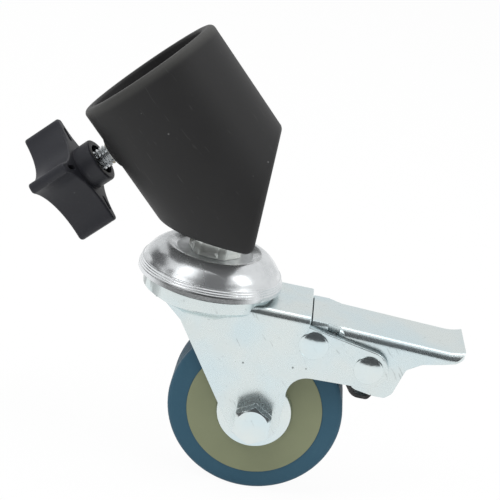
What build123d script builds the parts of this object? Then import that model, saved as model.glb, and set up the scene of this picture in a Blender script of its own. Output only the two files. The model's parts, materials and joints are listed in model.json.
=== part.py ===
from build123d import *
from math import cos, radians, sin, sqrt, tan
import os

# A leg-socket swivel caster with a foot brake, in millimetres and degrees.
# The origin is the centre of the leg bore's floor.  +Z runs up the swivel axis and +X
# runs from the swivel axis towards the brake pedal.

# ---- Leg socket ----
lean = 45.0  # the leg leans this far from the upright, towards -X
bore_radius = 17.5
bore_depth = 33.5
socket_wall = 3.5
base_drop = 16.1  # bore floor's centre down to the flat base
king_x = 3.6  # swivel axis
rear_reach = 10.7  # swivel axis to the foot of the rear face
rear_draft = 1.35  # rear face's lean, outward above
socket_edge = 2.4
rim_round = 1.5
mouth_round = 0.8

# ---- Clamp screw and knob ----
clamp_height = 19.65  # bore floor to the screw, along the leg
screw_radius = 3.0
screw_point = 0.5
tip_recess = 0.5  # the loose screw's tip stays this far outside the bore
insert_radius = 4.3
insert_wall_in = 1.75  # pad's disc runs this far into the socket's wall
pad_radius = 5.2
pad_height = 0.1
knob_gap = 4.3  # pad's plane to the knob's hub, the screw's travel
hub_radius = 6.3
hub_length = 5.0
hub_recess_radius = 4.5
hub_recess_depth = 2.0
knob_radius = 16.2
knob_thickness = 11.65
knob_waist = 8.2
lobe_tip = 3.0
lobe_turn = 19.4
lobe_corner = 1.2
lobe_edge = 0.6
lobe_pocket_length = 4.4
lobe_pocket_width = 1.4
lobe_pocket_depth = 7.0
lobe_pocket_radius = 11.0
screw_grip = 8.6  # screw inside the knob

# ---- Kingpin ----
stem_radius = 5.0
stem_length = 11.5
stem_chamfer = 0.8
bush_radius = 7.2
bush_groove = 0.5
groove_width = 1.2
groove_pitch = 3.5
hex_flats = 14.0
hex_height = 7.3
hex_turn = -10.0
hex_chamfer = 0.7
king_head_radius = 8.0
king_head_height = 2.0

# ---- Ball races ----
race_radius = 20.4
race_height = 8.8  # lower rim to the crest
race_recess = 1.3  # crest down to the hexagon's seat
race_sheet = 1.6
rim_lines = (1.6, 2.4, 3.0, 3.6)  # steps round the rim, up from its lower edge
rim_step = 0.24
rim_line = 0.16
crest_back = 5.9  # rim in to the crest
crest_round = (1.2, 0.2)
seat_back = 4.3  # crest in to the hexagon's seat
dome_bulge = (2.6, 1.9)  # dome's outer curve, in from the rim and down from the crest
dome_wall = 2.2  # straight part of the dome's inside
upper_ball_radius = 2.0
upper_ball_margin = 1.5  # balls to the dome's inside
upper_ball_lift = 4.3  # balls' centres above the rim's lower edge
upper_ball_count = 18
lower_ball_radius = 1.5
lower_pitch_back = 5.9  # upper balls' circle in to the lower balls' circle
lower_ball_count = 14
lower_race_rim = 0.7  # beyond the balls
lower_race_sheet = 2.2
lower_race_lip = 0.8
lip_wall = 0.6
ball_gap = 0.08

# ---- Fork ----
sheet = 2.0
race_gap = 1.6  # top race's lower rim to the deck
crown_rise = 0.8  # crown's shoulder above the deck
crown_lift = 4.0  # crown's raised middle above the top race's lower edge
crown_middle_back = 2.2  # upper balls' circle in to the raised middle
crown_track_back = 1.6
crown_gap = 1.2  # crown's side to the inside of the top race
crown_corner = (0.4, 0.5)
crown_hole_gap = 1.4
skirt_back = 2.0  # top race's rim in to the skirt
skirt_drop = 3.2
flare_foot = 12.6  # deck down to where the bell is flush with the legs
flare_middle = (0.37, 4.6)  # on the bell's curve: share of its width, and down from the deck
mouth_front = 2.2  # deck down to the bell's mouth, at the front
mouth_middle = (11.0, 3.0)  # swivel axis forward, and deck down
axle_drop = 32.6  # deck to the axle
trail = 20.0  # swivel axis to the axle
deck_reach = 10.0  # axle to the deck's rear end, along X
deck_bend = 2.2
ear_fall = 2.5  # deck down to the ears' upper edge
lobe_radius = 7.5
lug_radius = 5.5
front_slope = 56.6  # front edge of the legs, from the level
leg_top = 24.6  # axle up to the bell's mouth
leg_top_round = 3.0
rear_notch = 5.9
notch_drop = 0.8  # pedal lug down to the notch's edge
lug_lean = 9.0

# ---- Wheel ----
wheel_radius = 25.0
tread_back = 0.8  # core's face in to the tread's side
tread_foot = 0.2
tread_round = 1.6
rib_count = 5
rib_pitch = 2.2
rib_depth = 0.5
rib_width = 0.7
core_radius = 19.3
core_half = 8.4
key_radius = 21.4  # rib that locks the tread on
key_half = 3.4
cap_radius = 10.8
cap_proud = 1.5  # cap's face beyond the core
cap_gap = 1.1  # cap's face to the fork
cap_sheet = 0.8
cap_round = 1.0
cap_hole = 5.0
cap_skirt = 0.8
bearing_radius = 9.5
bearing_width = 6.0
bearing_sunk = 0.1  # below the core's face
bearing_stop = 1.5  # web between the bearings, inward
bearing_pitch = 6.25
bearing_ball = 1.6
ball_count = 7
outer_ring_wall = 2.0
inner_ring_radius = 4.9
axle_radius = 3.0
spacer_radius = 4.4
bolt_flats = 10.0
bolt_head = 6.0
bolt_groove = 0.35
bolt_line = 0.46  # groove's place along the head
bolt_dome = (0.8, 0.4)  # head's chamfer
bolt_end_chamfer = 0.5
nut_height = 6.0
nut_collar_radius = 4.2
nut_collar = 1.6
bolt_end = 1.5

# ---- Brake ----
leaf_pin_radius = 1.9
leaf_pin_at = (12.1, 25.1)  # from the axle, in X and Z
pedal_pin_radius = 2.0
pedal_pin_at = (28.3, 21.3)
rivet_head_radius = 4.1
rivet_head_height = 1.8
pedal_gap = 0.3  # pedal's flanges to the legs
pedal_sheet = 1.9
pedal_bend = 2.4
pedal_corner = 2.4
tongue_gap = 0.5
tongue_drop = 0.1  # deck down to the tongue
tongue_length = 9.2
tongue_round = 0.7
tread_drop = 2.8  # deck down to the tread
tread_fall = 1.0
lip_length = 4.6
lip_rise = 0.9
pedal_reach = 53.7  # axle to the pedal's end
# Lower edge of the flanges: first back from the pedal's end and down from the tread,
# then forward of and up from the pedal's pin.
flange_back = ((2.3, 2.4), (5.4, 3.3), (11.1, 4.6), (15.1, 7.2))
flange_round = ((8.1, -6.5), (6.3, -8.2), (2.7, -8.3), (-2.3, -7.2), (-4.6, -6.0))
flange_top = (0.6, 4.0)  # flange's front edge, before the tread and down from it
flange_bends = (2.0, 1.2)
cam_at = (25.0, 14.65)  # bent-in tabs that push the leaf
cam_length = 3.4
cam_corner = 0.5
cam_inner = 4.5
leaf_width = 12.0
leaf_sheet = 1.0
leaf_slope = 53.8  # leaf's fall, from the level
leaf_length = 20.7
leaf_tail = (4.0, 0.1)
leaf_tip = (0.9, 1.6)
leaf_bend = 3.2
leaf_tip_bend = 0.9
hook_wrap = 150.0
pin_gap = 0.06
seat_gap = 0.02

os.makedirs("parts", exist_ok=True)

# ---- Frames worked out from the sizes ----
socket_radius = bore_radius + socket_wall
leg_way = Vector(-sin(radians(lean)), 0, cos(radians(lean)))
leg_plane = Plane(origin=(0, 0, 0), x_dir=(0, 1, 0), z_dir=leg_way)
clamp_way = Vector(-cos(radians(lean)), 0, -sin(radians(lean)))
clamp_plane = Plane(origin=leg_way * clamp_height, x_dir=(0, 1, 0), z_dir=clamp_way)
pad_plane_at = socket_radius + pad_height
hub_at = pad_plane_at + knob_gap
knob_at = hub_at + hub_length

core_face = core_half + cap_proud
fork_inside = 2 * (core_face + cap_gap)
fork_half = fork_inside / 2 + sheet
pedal_width = fork_inside - 2 * pedal_gap
tyre_half = core_half - tread_back
bearing_face = core_half - bearing_sunk
crest_radius = race_radius - crest_back
seat_radius = crest_radius - seat_back
upper_pitch = race_radius - race_sheet - upper_ball_radius - upper_ball_margin
lower_pitch = upper_pitch - lower_pitch_back
crown_radius = race_radius - race_sheet - crown_gap
skirt_radius = race_radius - skirt_back

base_z = -base_drop
seat_z = base_z - hex_height
crest_z = seat_z + race_recess
race_rim_z = crest_z - race_height
deck_z = race_rim_z - race_gap
shoulder_z = deck_z + crown_rise
axle_x = king_x + trail
axle_z = deck_z - axle_drop
king_axis = Axis((king_x, 0, 0), (0, 0, 1))
king_plane = Plane(origin=(king_x, 0, 0), x_dir=(1, 0, 0), z_dir=(0, -1, 0))
axle_line = Axis((axle_x, 0, axle_z), (0, 1, 0))
# Sketches on wheel_plane have X along the axle's +Y and Y as the radius.
wheel_plane = Plane(origin=(axle_x, 0, axle_z), x_dir=(0, 1, 0), z_dir=(1, 0, 0))


def side_plane(y):
    """A plane seen from -Y, with its origin on the axle's line; extruding runs towards -Y."""
    return Plane(origin=(axle_x, y, axle_z), x_dir=(1, 0, 0), z_dir=(0, -1, 0))


def save(part, name):
    part.label = name
    export_step(part, f"parts/{name}.step")


# ---- Leg socket: a leaning tube closed below, on an upright base ----
blank_length = 2 * (base_drop + socket_radius)
with BuildPart() as leg_socket:
    with BuildSketch(leg_plane.offset(-blank_length)):
        Circle(socket_radius)
    extrude(amount=blank_length + bore_depth)
    split(bisect_by=Plane.XY.offset(base_z), keep=Keep.TOP)
    split(
        bisect_by=Plane(
            origin=(king_x + rear_reach, 0, base_z),
            x_dir=(0, 1, 0),
            z_dir=(cos(radians(rear_draft)), 0, -sin(radians(rear_draft))),
        ),
        keep=Keep.BOTTOM,
    )
    base_edges = leg_socket.faces().sort_by(Axis.Z)[0].edges()
    rear_edges = leg_socket.faces().sort_by(Axis.X)[-1].edges()
    fillet(ShapeList(set(base_edges + rear_edges)), socket_edge)
    with BuildSketch(clamp_plane.offset(pad_plane_at - insert_wall_in)):
        Circle(pad_radius)
    extrude(amount=insert_wall_in)
    rim = leg_socket.faces().sort_by(Axis((0, 0, 0), leg_way))[-1]
    fillet(rim.edges(), rim_round)
    with BuildSketch(leg_plane):
        Circle(bore_radius)
    extrude(amount=bore_depth + 1, mode=Mode.SUBTRACT)
    mouth = leg_socket.faces().sort_by(Axis((0, 0, 0), leg_way))[-1]
    fillet(mouth.edges().sort_by(SortBy.LENGTH)[0], mouth_round)
    with BuildSketch(clamp_plane):
        Circle(insert_radius)
    extrude(amount=pad_plane_at + 1, mode=Mode.SUBTRACT)
    with BuildSketch(Plane.XY.offset(base_z)):
        with Locations((king_x, 0)):
            Circle(bush_radius)
    extrude(amount=stem_length, mode=Mode.SUBTRACT)
save(leg_socket.part, "leg_socket")

# ---- Threaded bush moulded into the socket, with two grooves that key it ----
with BuildPart() as stem_bush:
    with BuildSketch(king_plane):
        with BuildLine():
            Polyline(
                (stem_radius + seat_gap, base_z),
                (bush_radius - seat_gap, base_z),
                (bush_radius - seat_gap, base_z + stem_length),
                (stem_radius + seat_gap, base_z + stem_length),
                close=True,
            )
        make_face()
        with Locations((bush_radius, base_z + stem_length / 2)):
            with GridLocations(1, groove_pitch, 1, 2):
                Rectangle(2 * bush_groove, groove_width, mode=Mode.SUBTRACT)
    revolve(axis=king_axis)
save(stem_bush.part, "stem_bush")

# ---- Threaded insert in the clamp's wall, short of the bore ----
with BuildPart() as clamp_insert:
    with BuildSketch(clamp_plane.offset(bore_radius)):
        Circle(insert_radius - seat_gap)
        Circle(screw_radius + pin_gap, mode=Mode.SUBTRACT)
    extrude(amount=pad_plane_at - bore_radius)
save(clamp_insert.part, "clamp_insert")

# ---- Clamp screw, with a point, running into the knob ----
screw_tip_at = bore_radius + tip_recess
screw_end_at = hub_at + hub_recess_depth + screw_grip
with BuildPart() as clamp_screw:
    with BuildSketch(clamp_plane.offset(screw_tip_at)):
        Circle(screw_radius)
    extrude(amount=screw_end_at - screw_tip_at)
    chamfer(clamp_screw.faces().sort_by(Axis((0, 0, 0), clamp_way))[0].edges(), screw_point)
save(clamp_screw.part, "clamp_screw")

# ---- Knob: four lobes with hollow flanks, a hub, and a cored slot in each lobe's back ----
# Each flank is part of a circle that clears the waist and leaves lobe_tip at the lobes' ends.
tip_out = sqrt(knob_radius**2 - (lobe_tip / 2) ** 2)
tip_across = sqrt(0.5) * (tip_out + lobe_tip / 2)
flank_at = (knob_radius**2 - knob_waist**2) / (2 * (tip_across - knob_waist))
flank_radius = flank_at - knob_waist
with BuildPart() as clamp_knob:
    with BuildSketch(clamp_plane.offset(knob_at)):
        Circle(knob_radius)
        with PolarLocations(flank_at, 4, start_angle=lobe_turn + 45):
            Circle(flank_radius, mode=Mode.SUBTRACT)
    extrude(amount=knob_thickness)
    faces_out = Axis((0, 0, 0), clamp_way)
    fillet(clamp_knob.edges().filter_by(faces_out), lobe_corner)
    ends = clamp_knob.faces().filter_by(faces_out).sort_by(faces_out)
    fillet(ShapeList(ends[0].edges() + ends[-1].edges()), lobe_edge)
    with BuildSketch(clamp_plane.offset(hub_at)):
        Circle(hub_radius)
    extrude(amount=hub_length + knob_thickness / 2)
    fillet(clamp_knob.faces().sort_by(faces_out)[0].edges(), lobe_edge)
    with BuildSketch(clamp_plane.offset(hub_at)):
        Circle(hub_recess_radius)
    extrude(amount=hub_recess_depth, mode=Mode.SUBTRACT)
    with BuildSketch(clamp_plane.offset(hub_at)):
        Circle(screw_radius + pin_gap)
    extrude(amount=screw_end_at - hub_at + pin_gap, mode=Mode.SUBTRACT)
    with BuildSketch(clamp_plane.offset(knob_at)):
        with PolarLocations(lobe_pocket_radius, 4, start_angle=lobe_turn):
            SlotOverall(lobe_pocket_length, lobe_pocket_width)
    extrude(amount=lobe_pocket_depth, mode=Mode.SUBTRACT)
save(clamp_knob.part, "clamp_knob")

# ---- Kingpin: threaded stem, hexagon, shank and riveted head in one forging ----
ball_top_z = seat_z - race_sheet  # underside of the top race's floor
crown_z = race_rim_z + crown_lift
track_z = race_rim_z + upper_ball_lift - upper_ball_radius  # crown's flat track under the balls
lower_ball_z = crown_z - sheet - ball_gap - lower_ball_radius
lower_race_z = lower_ball_z - lower_ball_radius / 2
lower_race_radius = lower_pitch + lower_ball_radius + lower_race_rim
king_head_z = lower_race_z - lower_race_sheet
hex_corner = hex_flats / sqrt(3)
hex_face = hex_corner - hex_chamfer
with BuildPart() as kingpin:
    with BuildSketch(Plane.XY.offset(seat_z)):
        with Locations((king_x, 0)):
            RegularPolygon(hex_flats / 2, 6, major_radius=False, rotation=hex_turn)
    extrude(amount=hex_height)
    with BuildSketch(king_plane):
        with BuildLine():
            Polyline(
                (0, seat_z),
                (hex_face, seat_z),
                (hex_corner + 0.1, seat_z + hex_chamfer),
                (hex_corner + 0.1, base_z - hex_chamfer),
                (hex_face, base_z),
                (0, base_z),
                close=True,
            )
        make_face()
    revolve(axis=king_axis, mode=Mode.INTERSECT)
    with BuildSketch(king_plane):
        with BuildLine():
            Polyline(
                (0, base_z + stem_length),
                (stem_radius - stem_chamfer, base_z + stem_length),
                (stem_radius, base_z + stem_length - stem_chamfer),
                (stem_radius, king_head_z),
                (king_head_radius, king_head_z),
            )
            ThreePointArc(
                (king_head_radius, king_head_z),
                (king_head_radius * 0.93, king_head_z - king_head_height * 0.7),
                (king_head_radius * 0.75, king_head_z - king_head_height),
            )
            Polyline(
                (king_head_radius * 0.75, king_head_z - king_head_height),
                (0, king_head_z - king_head_height),
                (0, base_z + stem_length),
            )
        make_face()
    revolve(axis=king_axis)
save(kingpin.part, "kingpin")

# ---- Top race: a pressed dome with a stepped rim band and a recess for the hexagon ----
rim_top = race_radius - len(rim_lines) * rim_step
rim_stair = [(race_radius, race_rim_z)]
for turn, line in enumerate(rim_lines):
    rim_stair.append((race_radius - turn * rim_step, race_rim_z + line - rim_line))
    rim_stair.append((race_radius - (turn + 1) * rim_step, race_rim_z + line))
with BuildPart() as top_race:
    with BuildSketch(king_plane):
        with BuildLine():
            Polyline(
                (stem_radius + seat_gap, seat_z),
                (seat_radius, seat_z),
                (crest_radius - crest_round[0], crest_z - crest_round[1]),
                (crest_radius, crest_z),
            )
            ThreePointArc(
                (crest_radius, crest_z),
                (race_radius - dome_bulge[0], crest_z - dome_bulge[1]),
                (rim_top, race_rim_z + rim_lines[-1]),
            )
            Polyline(*reversed(rim_stair))
            Polyline(
                (race_radius, race_rim_z),
                (race_radius - race_sheet, race_rim_z),
                (race_radius - race_sheet, race_rim_z + dome_wall),
            )
            ThreePointArc(
                (race_radius - race_sheet, race_rim_z + dome_wall),
                (
                    race_radius - dome_bulge[0] - race_sheet * 0.7,
                    crest_z - dome_bulge[1] - race_sheet * 0.7,
                ),
                (crest_radius - race_sheet / 4, crest_z - race_sheet),
            )
            Polyline(
                (crest_radius - race_sheet / 4, crest_z - race_sheet),
                (seat_radius, ball_top_z),
                (stem_radius + seat_gap, ball_top_z),
                (stem_radius + seat_gap, seat_z),
            )
        make_face()
    revolve(axis=king_axis)
save(top_race.part, "top_race")


def ball_circle(radius, pitch, count, z):
    with BuildPart() as balls:
        with Locations((king_x, 0, z)):
            with PolarLocations(pitch, count):
                Sphere(radius)
    return balls.part


upper_ball_z = track_z + upper_ball_radius
save(ball_circle(upper_ball_radius, upper_pitch, upper_ball_count, upper_ball_z), "upper_balls")
save(ball_circle(lower_ball_radius, lower_pitch, lower_ball_count, lower_ball_z), "lower_balls")

# ---- Lower race: a dished ring with a track and a turned-up lip, held by the kingpin's head ----
with BuildPart() as lower_race:
    with BuildSketch(king_plane):
        with BuildLine():
            Polyline(
                (stem_radius + seat_gap, king_head_z),
                (lower_race_radius, king_head_z),
                (lower_race_radius, lower_race_z + lower_race_lip),
                (lower_race_radius - lip_wall, lower_race_z + lower_race_lip),
                (lower_race_radius - lip_wall, lower_race_z),
                (stem_radius + seat_gap, lower_race_z),
                close=True,
            )
        make_face()
        with Locations((lower_pitch, lower_ball_z)):
            Circle(lower_ball_radius + ball_gap, mode=Mode.SUBTRACT)
    revolve(axis=king_axis)
save(lower_race.part, "lower_race")

# ---- Fork: crown, bell and legs pressed from one sheet ----
front_foot = (-lobe_radius * sin(radians(front_slope)), -lobe_radius * cos(radians(front_slope)))
leg_run = (leg_top - front_foot[1]) / tan(radians(front_slope))
front_top = (front_foot[0] - leg_run, leg_top)
bell_front = -trail - skirt_radius
ear_z = axle_drop - ear_fall
notch_z = pedal_pin_at[1] - lug_radius - notch_drop
lug_top = (
    pedal_pin_at[0] + lug_radius * sin(radians(lug_lean)),
    pedal_pin_at[1] + lug_radius * cos(radians(lug_lean)),
)


def bell_profile(inset, top):
    """Half section of the bell: a straight skirt that curves in, flush with the legs."""
    skirt_z = shoulder_z - skirt_drop
    foot_radius = fork_half - inset
    flare = (skirt_radius - fork_half) * flare_middle[0]
    with BuildSketch(king_plane) as profile:
        with BuildLine():
            Polyline(
                (foot_radius, deck_z - flare_foot),
                (0, deck_z - flare_foot),
                (0, top),
                (skirt_radius - inset, top),
                (skirt_radius - inset, skirt_z),
            )
            Spline(
                (skirt_radius - inset, skirt_z),
                (foot_radius + flare, deck_z - flare_middle[1] - inset / 3),
                (foot_radius, deck_z - flare_foot),
                tangents=[(-0.55, -0.83), (0, -1)],
            )
        make_face()
    return profile.sketch


def crown_profile(inset):
    """Half section of the crown: raised middle, ball track and shoulder."""
    top = crown_z - inset
    track = track_z - inset
    side = crown_radius - inset
    with BuildSketch(king_plane) as profile:
        with BuildLine():
            Polyline(
                (0, shoulder_z - skirt_drop),
                (0, top),
                (upper_pitch - crown_middle_back - inset / 2, top),
                (upper_pitch - crown_track_back - inset / 2, track),
                (side - crown_corner[0], track),
                (side, track - crown_corner[1]),
                (side, shoulder_z - skirt_drop),
                close=True,
            )
        make_face()
    return profile.sketch


with BuildPart() as fork:
    with BuildSketch(side_plane(fork_half)):
        with BuildLine():
            Polyline(
                front_foot,
                front_top,
                (-trail - fork_half, leg_top),
                (-trail - fork_half, axle_drop),
                (deck_reach, axle_drop),
                (deck_reach, ear_z),
                lug_top,
                pedal_pin_at,
                (pedal_pin_at[0], pedal_pin_at[1] - lug_radius),
                (lobe_radius, notch_z),
                (lobe_radius, 0),
                (0, 0),
                close=True,
            )
        make_face()
        Circle(lobe_radius)
        with Locations(pedal_pin_at):
            Circle(lug_radius)
        fillet(vertices().sort_by_distance((lobe_radius, notch_z))[0], rear_notch)
    extrude(amount=2 * fork_half)
    deck_edges = fork.faces().sort_by(Axis.Z)[-1].edges().filter_by(Axis.X)
    fillet(deck_edges, deck_bend)
    revolve(bell_profile(0, shoulder_z), axis=king_axis)
    revolve(crown_profile(0), axis=king_axis)
    with BuildSketch(side_plane(skirt_radius + 1)):
        with BuildLine():
            FilletPolyline(
                (bell_front - 1, axle_drop - mouth_front),
                (-trail - mouth_middle[0], axle_drop - mouth_middle[1]),
                front_top,
                front_foot,
                radius=leg_top_round,
            )
            Polyline(
                front_foot,
                (bell_front - 1, front_foot[1]),
                (bell_front - 1, axle_drop - mouth_front),
            )
        make_face()
    extrude(amount=2 * skirt_radius + 2, mode=Mode.SUBTRACT)
    revolve(bell_profile(sheet, shoulder_z - sheet), axis=king_axis, mode=Mode.SUBTRACT)
    revolve(crown_profile(sheet), axis=king_axis, mode=Mode.SUBTRACT)
    with BuildSketch(side_plane(fork_inside / 2)):
        with BuildLine():
            Polyline(
                (-trail, -lobe_radius - 1),
                (-trail, axle_drop - sheet),
                (deck_reach + 1, axle_drop - sheet),
                (deck_reach + 1, axle_drop + 1),
                (pedal_pin_at[0] + lug_radius + 1, axle_drop + 1),
                (pedal_pin_at[0] + lug_radius + 1, -lobe_radius - 1),
                close=True,
            )
        make_face()
        with BuildLine():
            Polyline(
                (-trail, 0),
                (-trail, axle_drop - flare_foot + 0.1),
                (-trail - fork_inside / 2, axle_drop - flare_foot + 0.1),
                (-trail - fork_inside / 2, 0),
                close=True,
            )
        make_face()
    extrude(amount=fork_inside, mode=Mode.SUBTRACT)
    with BuildSketch(Plane.XY.offset(crown_z)):
        with Locations((king_x, 0)):
            Circle(stem_radius + crown_hole_gap)
    extrude(amount=-2 * sheet, mode=Mode.SUBTRACT)
    with BuildSketch(side_plane(fork_half + 1)):
        Circle(axle_radius + seat_gap)
        with Locations(leaf_pin_at):
            Circle(leaf_pin_radius + seat_gap)
        with Locations(pedal_pin_at):
            Circle(pedal_pin_radius + seat_gap)
    extrude(amount=2 * fork_half + 2, mode=Mode.SUBTRACT)
save(fork.part, "fork")


# ---- Rivets through the legs, domed on both sides ----
def leg_rivet(radius, at):
    with BuildPart() as rivet:
        with BuildSketch(side_plane(fork_half)):
            with Locations(at):
                Circle(radius)
        extrude(amount=2 * fork_half)
        dome = (rivet_head_radius**2 + rivet_head_height**2) / (2 * rivet_head_height)
        here = Axis((axle_x + at[0], 0, axle_z + at[1]), (0, 1, 0))
        across = Plane(origin=(axle_x + at[0], 0, axle_z + at[1]), x_dir=(0, 1, 0), z_dir=(1, 0, 0))
        for side in (-1, 1):
            face = side * fork_half
            with BuildSketch(across):
                with BuildLine():
                    Polyline(
                        (face + side * rivet_head_height, 0),
                        (face, 0),
                        (face, rivet_head_radius),
                    )
                    mid = rivet_head_radius / 2
                    crown = rivet_head_height - dome + sqrt(dome**2 - mid**2)
                    ThreePointArc(
                        (face, rivet_head_radius),
                        (face + side * crown, mid),
                        (face + side * rivet_head_height, 0),
                    )
                make_face()
            revolve(axis=here)
    return rivet.part


save(leg_rivet(leaf_pin_radius, leaf_pin_at), "leaf_pin")
save(leg_rivet(pedal_pin_radius, pedal_pin_at), "pedal_pin")

# ---- Brake pedal: a pressed channel, its tongue level with the deck ----
tread_height = axle_drop - tread_drop
tongue = (deck_reach + tongue_gap, axle_drop - tongue_drop)
tread_start = (tongue[0] + tongue_length, tread_height + tread_fall)
tread_end = (pedal_reach - lip_length, tread_height)
pedal_tip = (pedal_reach, tread_height + lip_rise)
flange_start = tread_start[0] - flange_top[0]
tongue_bend = tongue[0] + tongue_length / 2
flange_edge = [(pedal_reach - back, tread_height - down) for back, down in flange_back]
flange_edge += [(pedal_pin_at[0] + on, pedal_pin_at[1] + up) for on, up in flange_round]
with BuildPart() as brake_pedal:
    with BuildSketch(side_plane(pedal_width / 2)):
        with BuildLine():
            Polyline(tongue, (tongue_bend, tongue[1]), tread_start, tread_end)
            ThreePointArc(
                tread_end,
                (pedal_reach - lip_length * 0.45, tread_height + lip_rise * 0.3),
                pedal_tip,
            )
            Polyline(
                pedal_tip,
                (pedal_reach, pedal_tip[1] - pedal_sheet),
                *flange_edge,
                (flange_start, tread_height - flange_top[1]),
                (flange_start, tread_start[1] - pedal_sheet),
                (tongue_bend, tongue[1] - pedal_sheet),
                (tongue[0], tongue[1] - pedal_sheet),
                tongue,
            )
        make_face()
        for corner, bend in zip(((2, 3), (4, 5)), flange_bends):
            for place in corner:
                fillet(vertices().sort_by_distance(flange_edge[place])[0], bend)
    extrude(amount=pedal_width)
    for bend, first, last in (
        (tongue_round, tongue[0], tongue_bend),
        (pedal_bend, flange_start, pedal_reach),
    ):
        top_edges = brake_pedal.faces().filter_by(lambda f: f.normal_at().Z > 0.9).edges()
        long_edges = top_edges.filter_by(lambda e: abs(e.tangent_at(0.5).Y) < 0.5)
        fillet(long_edges.filter_by_position(Axis.X, axle_x + first, axle_x + last), bend)
    with BuildSketch(Plane.XY.offset(axle_z)):
        with Locations((axle_x + pedal_reach - 2 * pedal_width, 0)):
            RectangleRounded(4 * pedal_width, pedal_width, pedal_corner)
    extrude(amount=2 * axle_drop, mode=Mode.INTERSECT)
    with BuildSketch(side_plane(pedal_width / 2 - pedal_sheet)):
        with BuildLine():
            Polyline(
                (tongue[0] - 1, 0),
                (tongue[0] - 1, tongue[1] - pedal_sheet),
                (tongue_bend - pedal_sheet / 6, tongue[1] - pedal_sheet),
                (tread_start[0] - pedal_sheet / 9, tread_start[1] - pedal_sheet),
                (tread_end[0], tread_end[1] - pedal_sheet),
            )
            ThreePointArc(
                (tread_end[0], tread_end[1] - pedal_sheet),
                (pedal_reach - lip_length * 0.4, tread_height + lip_rise * 0.3 - pedal_sheet),
                (pedal_reach + 1, tread_height + lip_rise * 1.2 - pedal_sheet),
            )
            Polyline(
                (pedal_reach + 1, tread_height + lip_rise * 1.2 - pedal_sheet),
                (pedal_reach + 1, 0),
                (tongue[0] - 1, 0),
            )
        make_face()
    extrude(amount=pedal_width - 2 * pedal_sheet, mode=Mode.SUBTRACT)
    with BuildSketch(side_plane(pedal_width / 2 + 1)):
        with Locations(pedal_pin_at):
            Circle(pedal_pin_radius + pin_gap)
    extrude(amount=pedal_width + 2, mode=Mode.SUBTRACT)
    for outer in (pedal_width / 2, -cam_inner):
        with BuildSketch(side_plane(outer)):
            with Locations(Location(cam_at, -leaf_slope)):
                RectangleRounded(cam_length, pedal_sheet, cam_corner)
        extrude(amount=pedal_width / 2 - cam_inner)
save(brake_pedal.part, "brake_pedal")

# ---- Brake leaf: a spring strip hooked over its pin, straight past the tread, curled tail ----
hook_radius = leaf_pin_radius + pin_gap + leaf_sheet / 2
hook_end = (
    leaf_pin_at[0] + hook_radius * sin(radians(leaf_slope)),
    leaf_pin_at[1] + hook_radius * cos(radians(leaf_slope)),
)
leaf_foot = (
    hook_end[0] + leaf_length * cos(radians(leaf_slope)),
    hook_end[1] - leaf_length * sin(radians(leaf_slope)),
)
leaf_end = (leaf_foot[0] + leaf_tail[0], leaf_foot[1] + leaf_tail[1])
with BuildPart() as brake_leaf:
    with BuildSketch(side_plane(leaf_width / 2)):
        with BuildLine():
            CenterArc(leaf_pin_at, hook_radius, 90 - leaf_slope, hook_wrap)
            FilletPolyline(
                hook_end,
                leaf_foot,
                leaf_end,
                (leaf_end[0] + leaf_tip[0], leaf_end[1] + leaf_tip[1]),
                radius=[leaf_bend, leaf_tip_bend],
            )
        trace(line_width=leaf_sheet)
    extrude(amount=leaf_width)
save(brake_leaf.part, "brake_leaf")


# ---- Wheel ----
def wheel_ring(*outline):
    """A ring about the axle from its half section, as (across, radius) points."""
    with BuildPart() as ring:
        with BuildSketch(wheel_plane):
            with BuildLine():
                Polyline(*outline, close=True)
            make_face()
        revolve(axis=axle_line)
    return ring.part


with BuildPart() as tyre:
    with BuildSketch(wheel_plane):
        with BuildLine():
            Polyline(
                (-core_half + tread_foot, core_radius),
                (-tyre_half, wheel_radius),
                (tyre_half, wheel_radius),
                (core_half - tread_foot, core_radius),
                (key_half, core_radius),
                (key_half, key_radius),
                (-key_half, key_radius),
                (-key_half, core_radius),
                close=True,
            )
        make_face()
        shoulders = vertices().group_by(Axis.Y)[-1]
        fillet(shoulders, tread_round)
        with GridLocations(rib_pitch, 1, rib_count, 1):
            with Locations((0, wheel_radius)):
                Rectangle(rib_width, 2 * rib_depth, mode=Mode.SUBTRACT)
    revolve(axis=axle_line)
save(tyre.part, "tyre")

pocket_floor = bearing_face - bearing_width
web_radius = bearing_radius - bearing_stop
with BuildPart() as wheel_core:
    with BuildSketch(wheel_plane):
        with BuildLine():
            Polyline(
                (-core_half, bearing_radius),
                (-core_half, core_radius),
                (-key_half, core_radius),
                (-key_half, key_radius),
                (key_half, key_radius),
                (key_half, core_radius),
                (core_half, core_radius),
                (core_half, bearing_radius),
                (pocket_floor, bearing_radius),
                (pocket_floor, web_radius),
                (-pocket_floor, web_radius),
                (-pocket_floor, bearing_radius),
                close=True,
            )
        make_face()
        with Locations((-core_half, cap_radius - cap_sheet / 2), (core_half, cap_radius - cap_sheet / 2)):
            Rectangle(2 * cap_skirt, cap_sheet + 2 * seat_gap, mode=Mode.SUBTRACT)
    revolve(axis=axle_line)
save(wheel_core.part, "wheel_core")

save(
    wheel_ring(
        (-pocket_floor, axle_radius + seat_gap),
        (-pocket_floor, spacer_radius),
        (pocket_floor, spacer_radius),
        (pocket_floor, axle_radius + seat_gap),
    ),
    "bearing_spacer",
)

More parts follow.
